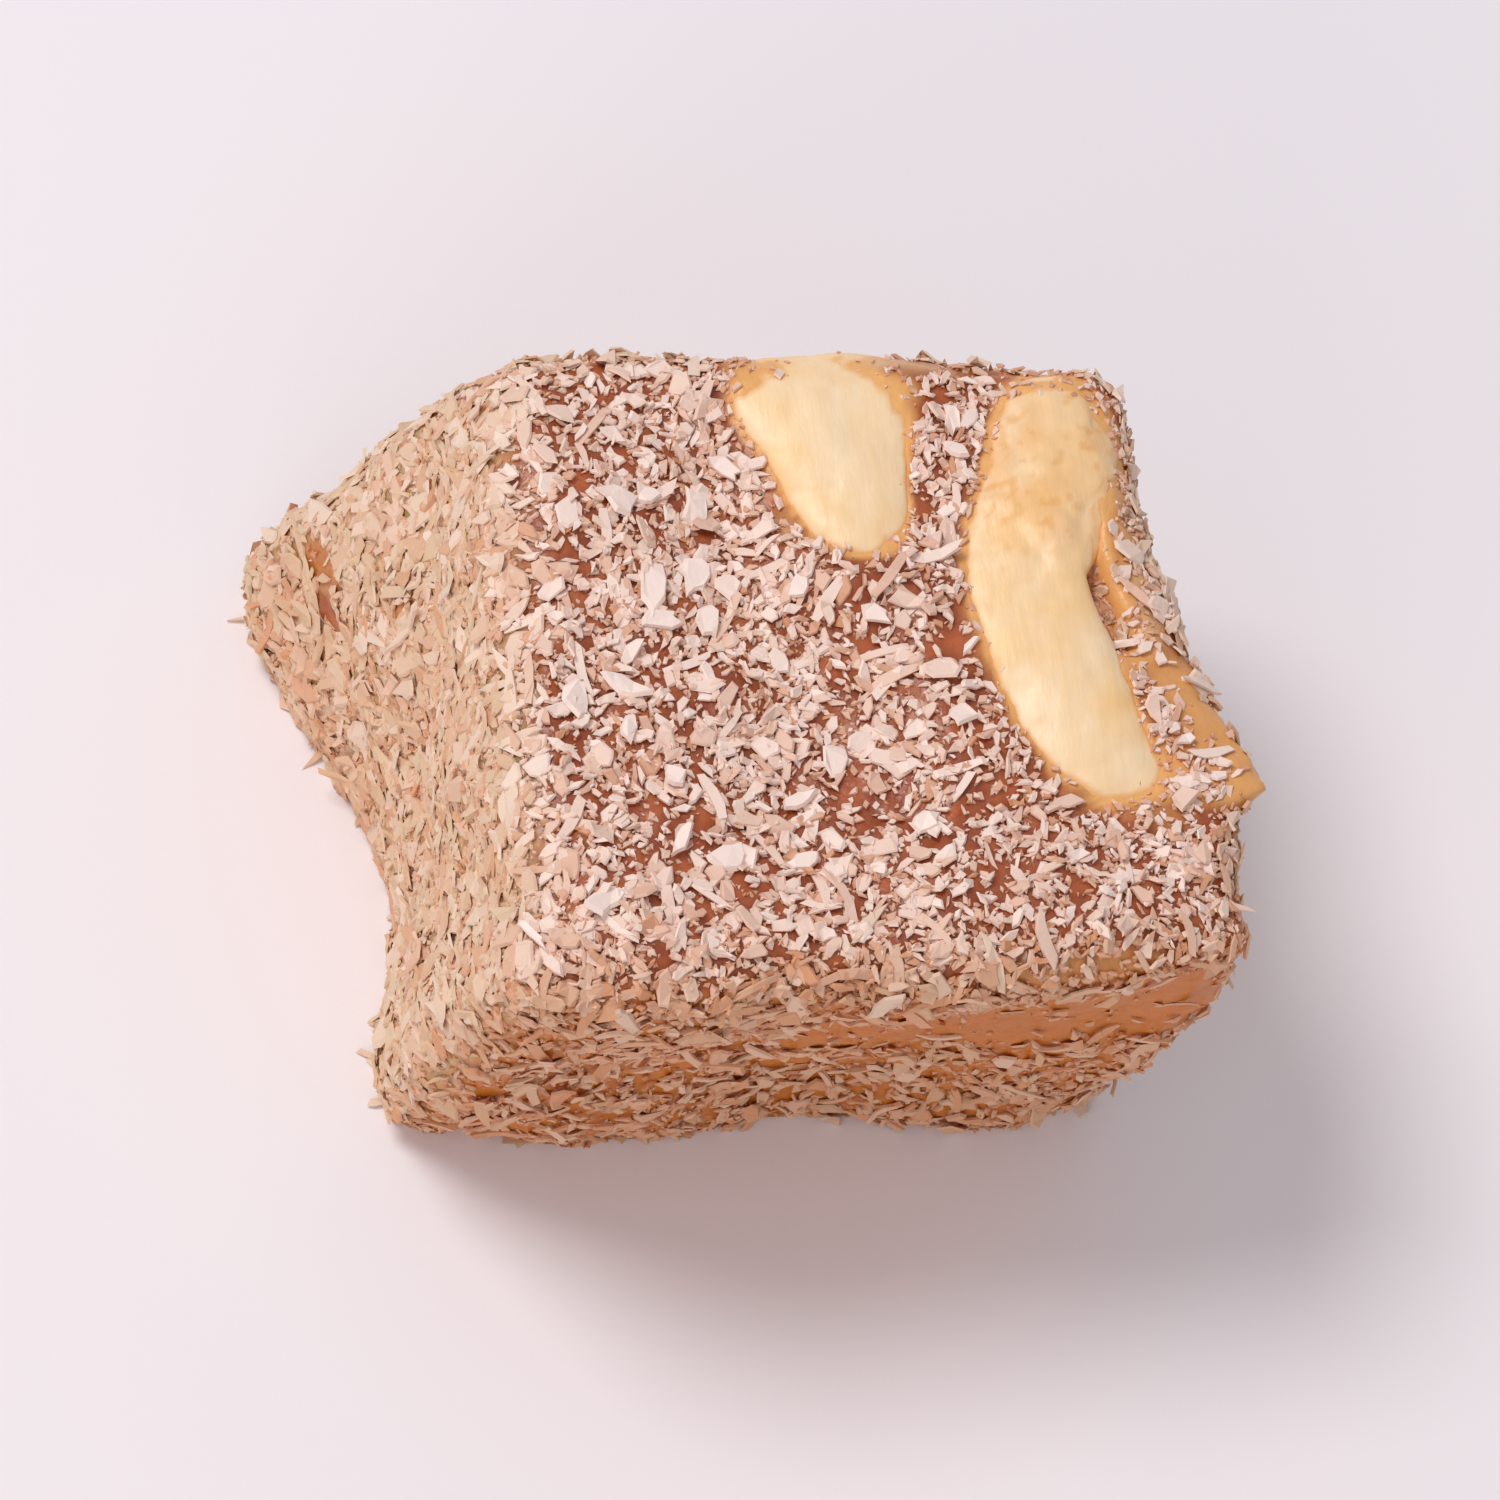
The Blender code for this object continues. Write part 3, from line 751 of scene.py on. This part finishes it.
# The coat is calmer on the left side, painted a darker cream as shade on every side, and painted browner as
# shade at the front.
LEFT_CALM = 0.50
PAINTED_SIDE_SHADE = (0.50, 1.25)
FRONT_PAINTED_SHADE = 0.45

# The coat is patchy: how thick it is on the whole, and the strength and size of each of its patches.
EVEN_COAT = 0.90
COAT_PATCHES = ((0.35, 2.4 * MM), (0.7, 0.8 * MM))
COAT_LIMITS = (0.40, 1.6)
LEFT_COAT = 0.5

# At the front the coat is thick from this height up, over this run, and otherwise thinner.
FRONT_COAT_FROM = 18.0 * MM
FRONT_COAT_RUN = 2.0 * MM
FRONT_COAT = 1.5
FRONT_THINNER = 0.3

# Beside an open nut the coat grows thick over this run, and no piece lies lower than this above the floor.
NUT_COAT_RUN = 0.25 * MM
LOWEST = 0.02 * MM


def shred_points(kind, rng):
    """The points of every shred about its own middle: a narrow bar of a few sections, thinner at its ends and
    curled a little. Shape: pieces, points, 3."""
    stations = np.linspace(-1.0, 1.0, SHRED_SECTIONS + 1)
    count = kind.count
    length = rng.uniform(*kind.length, count)[:, None]
    width = length * rng.uniform(*kind.width, count)[:, None]
    thickness = rng.uniform(*kind.thickness, count)[:, None]
    curl = kind.curl * length * rng.uniform(-1.0, 1.0, count)[:, None]
    bow = kind.curl * length * rng.uniform(-1.0, 1.0, count)[:, None]
    ends = rng.uniform(*SHRED_END_WIDTH, (count, SHRED_SECTIONS + 1))
    spread = width / 2 * (1.0 - (1.0 - ends) * stations**2)
    along = stations * length / 2
    arch = stations**2 - SHRED_ARCH_MIDDLE
    points = np.empty((count, SHRED_SECTIONS + 1, 4, 3))
    for corner, (side, top) in enumerate(((-1, -1), (1, -1), (1, 1), (-1, 1))):
        slant = rng.uniform(-SHRED_SLANT, SHRED_SLANT, (count, 1)) * length
        points[:, :, corner, 0] = along + slant * side * np.abs(stations)
        points[:, :, corner, 1] = side * spread + bow * arch
        points[:, :, corner, 2] = top * thickness / 2 + curl * arch
    return points.reshape(count, -1, 3)


def shred_faces():
    """One shred's faces, by its own points."""
    faces = [(3, 2, 1, 0), tuple(4 * SHRED_SECTIONS + c for c in range(4))]
    for i in range(SHRED_SECTIONS):
        for c in range(4):
            after = (c + 1) % 4
            faces.append((4 * i + c, 4 * i + after, 4 * i + 4 + after, 4 * i + 4 + c))
    return faces


def chip_points(sides, length, width, thickness, curl, rng):
    """The points of flat irregular chips: a lower ring, then a smaller upper ring, each bent a little. The
    sizes are columns with a row for each chip. Shape: pieces, points, 3."""
    count = len(length)
    angle = (np.arange(sides) + rng.uniform(-CHIP_STRAY, CHIP_STRAY, (count, sides))) * 2 * np.pi / sides
    radius = rng.uniform(*CHIP_RADIUS, (count, sides))
    bend = curl * rng.uniform(-1.0, 1.0, (count, 2, 1))
    outline_x = np.cos(angle) * radius * length / 2
    outline_y = np.sin(angle) * radius * width / 2
    raised = (bend[:, 0] * outline_x**2 + bend[:, 1] * outline_y**2) / length * 4
    ragged = thickness * rng.uniform(-CHIP_RAGGED, CHIP_RAGGED, (count, sides))
    points = np.zeros((count, 2, sides, 3))
    for layer, (up, size) in enumerate(((-0.5, 1.0), (0.5, CHIP_TOP_SIZE))):
        points[:, layer, :, 0] = outline_x * size
        points[:, layer, :, 1] = outline_y * size
        points[:, layer, :, 2] = raised + ragged + up * thickness
    return points.reshape(count, -1, 3)


def chip_faces(sides):
    """One chip's faces, by its own points."""
    faces = [tuple(range(sides - 1, -1, -1)), tuple(range(sides, 2 * sides))]
    for i in range(sides):
        j = (i + 1) % sides
        faces.append((i, j, sides + j, sides + i))
    return faces


class Surface:
    """The jelly's triangles, from which places for the coconut are drawn."""

    def __init__(self, jelly):
        mesh = jelly.data
        mesh.calc_loop_triangles()
        points = np.empty((len(mesh.vertices), 3))
        mesh.vertices.foreach_get("co", points.ravel())
        corners = np.empty((len(mesh.loop_triangles), 3), dtype=np.int32)
        mesh.loop_triangles.foreach_get("vertices", corners.ravel())
        kept = {}
        for name in ("nut_gap", "bare"):
            kept[name] = np.empty(len(mesh.vertices))
            mesh.attributes[name].data.foreach_get("value", kept[name])
        self.triangles = points[corners]
        a, b, c = self.triangles.transpose(1, 0, 2)
        cross = np.cross(b - a, c - a)
        size = np.linalg.norm(cross, axis=1)
        self.areas = size / 2
        self.normals = cross / size[:, None]
        self.gap = kept["nut_gap"][corners].min(axis=1)
        self.bare = kept["bare"][corners].mean(axis=1)
        self.patchy = np.array([self.coat(Vector(middle)) for middle in self.triangles.mean(axis=1)])

    @staticmethod
    def coat(place):
        """How thickly the coconut lies at this place."""
        thick = EVEN_COAT
        for strength, size in COAT_PATCHES:
            thick += strength * noise.noise(place / size)
        return thick

    def sides(self):
        """How much each triangle faces up, left, to the front and elsewhere. They add up to 1."""
        parts = np.stack([
            np.clip(self.normals[:, 2], 0.0, 1.0) ** 2,
            np.clip(-self.normals[:, 0], 0.0, 1.0) ** 2,
            np.clip(-self.normals[:, 1], 0.0, 1.0) ** 2,
        ])
        return np.vstack((parts, np.clip(1.0 - parts.sum(axis=0), 0.0, 1.0)))

    def draw(self, kind, rng):
        """Places and directions for the pieces of one kind."""
        density = np.asarray(kind.shares) @ self.sides()
        left = np.clip(-self.normals[:, 0], 0.0, 1.0)
        front = np.clip(-self.normals[:, 1], 0.0, 1.0)
        height = self.triangles[:, :, 2].mean(axis=1)
        at_top_edge = np.clip((height - FRONT_COAT_FROM) / FRONT_COAT_RUN, 0.0, 1.0)
        density *= 1.0 + front * (FRONT_COAT * at_top_edge - FRONT_THINNER)
        density *= np.clip(self.patchy + LEFT_COAT * left, *COAT_LIMITS) * (1.0 - self.bare)
        density *= np.clip((self.gap - kind.clearance) / NUT_COAT_RUN, 0.0, 1.0)
        weight = self.areas * density
        chosen = rng.choice(len(weight), kind.count, p=weight / weight.sum())
        u, v = rng.random((2, kind.count, 1))
        folded = u + v > 1.0
        u = np.where(folded, 1.0 - u, u)
        v = np.where(folded, 1.0 - v, v)
        a, b, c = self.triangles[chosen].transpose(1, 0, 2)
        return a + (b - a) * u + (c - a) * v, self.normals[chosen]


def unit(vectors):
    """The vectors, a row each, at a length of 1."""
    return vectors / np.linalg.norm(vectors, axis=1)[:, None]


def tilted_frames(normals, tilt, rng):
    """For each direction a frame that lies across it, turned at random and leaning by up to about tilt
    degrees, a column."""
    count = len(normals)
    along = unit(np.cross(normals, rng.normal(size=(count, 3))))
    across = np.cross(normals, along)
    lean = np.tan(np.radians(tilt) * rng.triangular(-1.0, 0.0, 1.0, (2, count, 1)))
    up = unit(normals + along * lean[0] + across * lean[1])
    along = unit(along - up * np.sum(along * up, axis=1)[:, None])
    return np.stack((along, np.cross(up, along), up), axis=1)


def coconut_piece(name, placed, faces, stain_and_shade, side, material):
    """Many pieces of coconut as one mesh. Values kept on its points: how much jelly colours the piece, with
    painted shade added at the front, and side, how much it lies on a side, which paints it a darker cream as
    shade."""
    count, per_piece = placed.shape[:2]
    lowest = placed[:, :, 2].min(axis=1)
    placed[:, :, 2] += np.maximum(LOWEST - lowest, 0.0)[:, None]
    every_face = [tuple(per_piece * n + i for i in face) for n in range(count) for face in faces]
    mesh = bpy.data.meshes.new(name)
    mesh.from_pydata(placed.reshape(-1, 3).tolist(), [], every_face)
    for value, numbers in (("stain_and_shade", stain_and_shade), ("side", side)):
        kept = mesh.attributes.new(value, "FLOAT", "POINT")
        kept.data.foreach_set("value", np.repeat(numbers, per_piece))
    mesh.update()
    return piece(name, mesh, material, "coconut_jelly_cube")


def coconut(kind, surface, rng, material):
    """All the pieces of one kind, lying on the jelly."""
    if kind.sides:
        length = rng.uniform(*kind.length, (kind.count, 1))
        width = length * rng.uniform(*kind.width, (kind.count, 1))
        thickness = rng.uniform(*kind.thickness, (kind.count, 1))
        points = chip_points(kind.sides, length, width, thickness, kind.curl, rng)
        faces = chip_faces(kind.sides)
    else:
        points, faces = shred_points(kind, rng), shred_faces()
    places, normals = surface.draw(kind, rng)
    left = np.clip(-normals[:, 0:1], 0.0, 1.0)
    front = np.clip(-normals[:, 1:2], 0.0, 1.0)
    frames = tilted_frames(normals, kind.tilt * (1.0 - LEFT_CALM * left), rng)
    lift = rng.uniform(*kind.lift, (kind.count, 1)) * (1.0 - LEFT_CALM * left)
    lift = lift * (1.0 - np.clip(-normals[:, 2:3], 0.0, 1.0))
    placed = np.einsum("npk,nkc->npc", points, frames) + (places + normals * lift)[:, None, :]
    # Painted side shade: pieces on the sides are given a darker cream.
    side = (1.0 - np.clip(normals[:, 2], 0.0, 1.0) ** 2) * rng.uniform(*PAINTED_SIDE_SHADE, kind.count)
    # Real stain, with painted shade added at the front: pieces there are coloured browner.
    stain_and_shade = np.clip(rng.beta(*kind.stain_and_shade, kind.count) + FRONT_PAINTED_SHADE * front[:, 0], 0.0, 1.0)
    coconut_piece(kind.name, placed, faces, stain_and_shade, side, material)


# The large chips that stand out on the top: place in mm, length and width in mm, and direction in degrees.
TOP_CHIPS = (
    (-6.7, 3.6, 2.6, 1.15, 80), (-6.5, 2.3, 1.8, 1.00, 172), (-5.0, 4.1, 1.8, 1.20, 70),
    (-4.7, 2.3, 1.5, 1.00, 100), (-4.7, 6.7, 2.1, 1.25, 80), (-7.6, 6.9, 1.9, 1.20, 155),
    (-6.4, 7.1, 1.2, 0.85, 130), (-3.2, 8.3, 1.5, 0.75, 135), (-10.1, -0.7, 1.6, 1.30, 60),
    (-8.1, -0.4, 2.3, 0.85, 155), (-8.3, -1.9, 1.3, 0.85, 80), (-6.7, -4.0, 1.2, 0.95, 110),
    (-6.8, -6.4, 1.5, 0.80, 60), (-5.2, -7.1, 1.6, 1.40, 40), (-10.1, -8.9, 1.7, 1.30, 20),
    (-12.5, -9.7, 1.7, 0.40, 125), (-2.2, -5.0, 1.6, 0.80, 20), (-2.4, -7.3, 1.5, 0.75, 0),
    (2.2, -6.1, 1.3, 1.00, 30), (-1.3, 3.3, 1.3, 0.95, 60), (1.4, 2.1, 1.4, 0.85, 150),
    (4.0, -2.2, 1.3, 1.10, 20), (5.3, 9.8, 1.6, 0.65, 95), (5.3, 8.3, 1.2, 0.75, 140),
    (10.7, 0.5, 2.1, 0.38, 165),
)
PLACED_CHIP_SIDES = 9
PLACED_CHIP_CURL = 0.16
TOP_CHIP_THICKNESS = 0.18 * MM
TOP_CHIP_LIFT = 0.36 * MM
TOP_CHIP_LEAN = 0.12
TOP_CHIP_STAIN = (0.0, 0.05)


def top_chips(surface, rng, material):
    """The placed chips on the top, as one piece."""
    table = np.array(TOP_CHIPS) * np.array([MM, MM, MM, MM, math.pi / 180])
    length, width = table[:, 2:3], table[:, 3:4]
    thickness = np.full_like(length, TOP_CHIP_THICKNESS)
    points = chip_points(PLACED_CHIP_SIDES, length, width, thickness, PLACED_CHIP_CURL, rng)
    placed = np.empty_like(points)
    for n, (x, y, _, _, turn) in enumerate(table):
        above = Vector((x, y, 2 * HEIGHT)) + CENTRE
        hit, normal, _, _ = surface.ray_cast(above, Vector((0.0, 0.0, -1.0)))
        up = (normal + Vector(rng.uniform(-TOP_CHIP_LEAN, TOP_CHIP_LEAN, 3))).normalized()
        across = up.cross(Vector((math.cos(turn), math.sin(turn), 0.0))).normalized()
        frame = np.array((across.cross(up), across, up))
        placed[n] = points[n] @ frame + np.array(hit + up * TOP_CHIP_LIFT)
    stain_and_shade = rng.uniform(*TOP_CHIP_STAIN, len(table))
    faces = chip_faces(PLACED_CHIP_SIDES)
    coconut_piece("coconut_top_chips", placed, faces, stain_and_shade, np.zeros(len(table)), material)


# Pieces that stand out on the left side and over the front edge: from and to in mm, width in mm, and how much
# jelly colours them.
SIDE_CHIPS = (
    ((-14.9, 8.4, 7.8), (-14.0, 5.8, 10.8), 0.50, 0.0),
    ((-14.1, 5.8, 10.4), (-13.0, 6.4, 14.2), 0.42, 0.0),
    ((-13.1, 6.4, 13.6), (-12.8, 5.4, 17.4), 0.55, 0.0),
    ((-13.4, 9.6, 12.6), (-12.8, 9.9, 15.4), 0.95, 0.1),
    ((-12.7, 8.0, 16.6), (-12.3, 8.7, 19.0), 1.00, 0.1),
    ((-12.6, -4.9, 18.6), (-12.3, -3.4, 20.2), 1.15, 0.0),
    ((-14.3, -8.0, 11.0), (-14.0, -9.8, 12.6), 1.00, 0.1),
    ((-14.6, 5.9, 3.6), (-14.4, 4.5, 5.3), 1.25, 0.1),
    ((-13.9, 2.6, 4.2), (-13.7, 1.1, 5.8), 0.50, 0.9),
    ((-13.4, -7.4, 14.6), (-12.9, -6.0, 17.8), 0.90, 0.2),
    ((-13.8, 4.6, 9.6), (-13.5, 4.0, 12.4), 0.90, 0.2),
    ((-13.2, 0.8, 12.4), (-12.9, 1.8, 15.2), 0.85, 0.1),
    ((-13.6, -2.6, 9.6), (-13.4, -1.8, 12.4), 0.95, 0.3),
    ((-12.8, -1.4, 16.2), (-12.6, -0.6, 18.6), 0.80, 0.1),
    ((3.3, -10.4, 21.2), (4.5, -12.5, 19.4), 0.60, 0.1),
    ((0.9, -11.6, 20.4), (-0.2, -11.8, 17.6), 1.00, 0.2),
    ((5.8, -12.0, 20.0), (6.9, -11.9, 17.8), 0.75, 0.3),
    ((-3.5, -11.7, 20.0), (-2.2, -11.6, 17.2), 0.90, 0.4),
    ((-7.4, -12.0, 20.1), (-6.9, -12.1, 17.8), 0.80, 0.4),
    ((-10.0, -11.6, 20.4), (-9.0, -12.2, 18.4), 0.90, 0.3),
    ((0.3, -9.2, 21.0), (-1.3, -10.8, 20.9), 0.55, 0.1),
    ((1.6, -11.2, 20.8), (2.4, -12.0, 19.2), 0.85, 0.3),
    ((8.8, -11.8, 19.8), (9.5, -11.9, 17.8), 0.55, 0.4),
)
SIDE_CHIP_THICKNESS = 0.10 * MM
SIDE_CHIP_LIFT = 0.20 * MM
# How much painted side shade the placed side chips are given.
SIDE_CHIP_PAINTED_SHADE = 0.6


def side_chips(surface, rng, material):
    """The placed chips on the left side and over the front edge, as one piece."""
    ends = np.array([(start, end) for start, end, _, _ in SIDE_CHIPS]) * MM
    runs = ends[:, 1] - ends[:, 0]
    length = np.linalg.norm(runs, axis=1)[:, None]
    width = np.array([[chip[2]] for chip in SIDE_CHIPS]) * MM
    thickness = np.full_like(length, SIDE_CHIP_THICKNESS)
    points = chip_points(PLACED_CHIP_SIDES, length, width, thickness, PLACED_CHIP_CURL, rng)
    placed = np.empty_like(points)
    for n, run in enumerate(runs):
        hit, normal, _, _ = surface.find_nearest(Vector(ends[n].mean(axis=0)) + CENTRE)
        across = normal.cross(Vector(run)).normalized()
        frame = np.array((across.cross(normal), across, normal))
        placed[n] = points[n] @ frame + np.array(hit + normal * SIDE_CHIP_LIFT)
    stain_and_shade = np.array([chip[3] for chip in SIDE_CHIPS])
    side = np.full(len(runs), SIDE_CHIP_PAINTED_SHADE)
    coconut_piece("coconut_side_chips", placed, chip_faces(PLACED_CHIP_SIDES), stain_and_shade, side, material)


# The studio. A light has a name, a place, a size, a power and a colour.
FLOOR_HALF = 1.5
LIGHTS = (
    ("key", (-0.28, 0.18, 0.58), 0.26, 2.25, (1.0, 0.98, 0.96)),
    ("fill", (-0.30, -0.45, 0.20), 0.40, 0.7, (1.0, 0.91, 0.80)),
)
ROOM_COLOUR = (0.96, 0.95, 1.0, 1.0)
ROOM_STRENGTH = 0.46
SENSOR_WIDTH = 36.0


def floor():
    """The plain floor, which isn't part of the cube."""
    mesh = bpy.data.meshes.new("floor")
    corners = [(x * FLOOR_HALF, y * FLOOR_HALF, 0.0) for x, y in ((-1, -1), (1, -1), (1, 1), (-1, 1))]
    mesh.from_pydata(corners, [], [(0, 1, 2, 3)])
    mesh.materials.append(floor_material())
    obj = bpy.data.objects.new("floor", mesh)
    bpy.context.scene.collection.objects.link(obj)


def area_light(target, name, place, size, power, colour):
    """A round soft light that points at the target."""
    light = bpy.data.lights.new(name, "AREA")
    light.shape = "DISK"
    light.size = size
    light.energy = power
    light.color = colour
    obj = bpy.data.objects.new(name, light)
    bpy.context.scene.collection.objects.link(obj)
    obj.location = place
    obj.rotation_euler = (Vector(target) - Vector(place)).to_track_quat("-Z", "Y").to_euler()


def studio(middle):
    """The pale room and its soft lights, which point at the cube."""
    world = bpy.data.worlds.new("pale_room")
    world.use_nodes = True
    background = world.node_tree.nodes["Background"]
    background.inputs["Color"].default_value = ROOM_COLOUR
    background.inputs["Strength"].default_value = ROOM_STRENGTH
    bpy.context.scene.world = world
    bpy.context.scene.view_settings.view_transform = "Standard"
    for light in LIGHTS:
        area_light(middle, *light)


def camera(middle):
    """The camera at the photograph's angle, with the cube in the middle."""
    up = PICTURE_UP.normalized()
    towards = PICTURE_RIGHT.cross(up).normalized()
    right = up.cross(towards)
    data = bpy.data.cameras.new("camera")
    data.sensor_width = SENSOR_WIDTH
    data.lens = data.sensor_width * CAMERA_DISTANCE / PICTURE_WIDTH
    obj = bpy.data.objects.new("camera", data)
    bpy.context.scene.collection.objects.link(obj)
    turned = Matrix((right, up, towards)).transposed().to_4x4()
    obj.matrix_world = Matrix.Translation(middle + towards * CAMERA_DISTANCE) @ turned
    bpy.context.scene.camera = obj


def build():
    """Builds the whole scene."""
    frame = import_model()
    cad_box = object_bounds()
    middle = (cad_box[0] + cad_box[1]) / 2
    solids = {name: obj for name, obj in frame["nodes"].items() if name.startswith("hazelnut")}
    camera(middle)
    studio(middle)
    floor()
    nut_material = hazelnut_material()
    bm, rows = plain_jelly()
    level = BVHTree.FromBMesh(bm)
    kernels = [
        fine_nut(name.replace("hazelnut", "kernel"), solid, level, nut_material)
        for name, solid in solids.items()
    ]
    jelly = jelly_body(bm, rows, Nuts(kernels), jelly_material())
    jelly_tree = tree_of(jelly)
    film_on_nuts(kernels, jelly_tree)
    flesh = coconut_material()
    rng = np.random.default_rng(SEED)
    jelly_triangles = Surface(jelly)
    for kind in KINDS:
        coconut(kind, jelly_triangles, rng, flesh)
    top_chips(jelly_tree, rng, flesh)
    side_chips(jelly_tree, rng, flesh)


build()
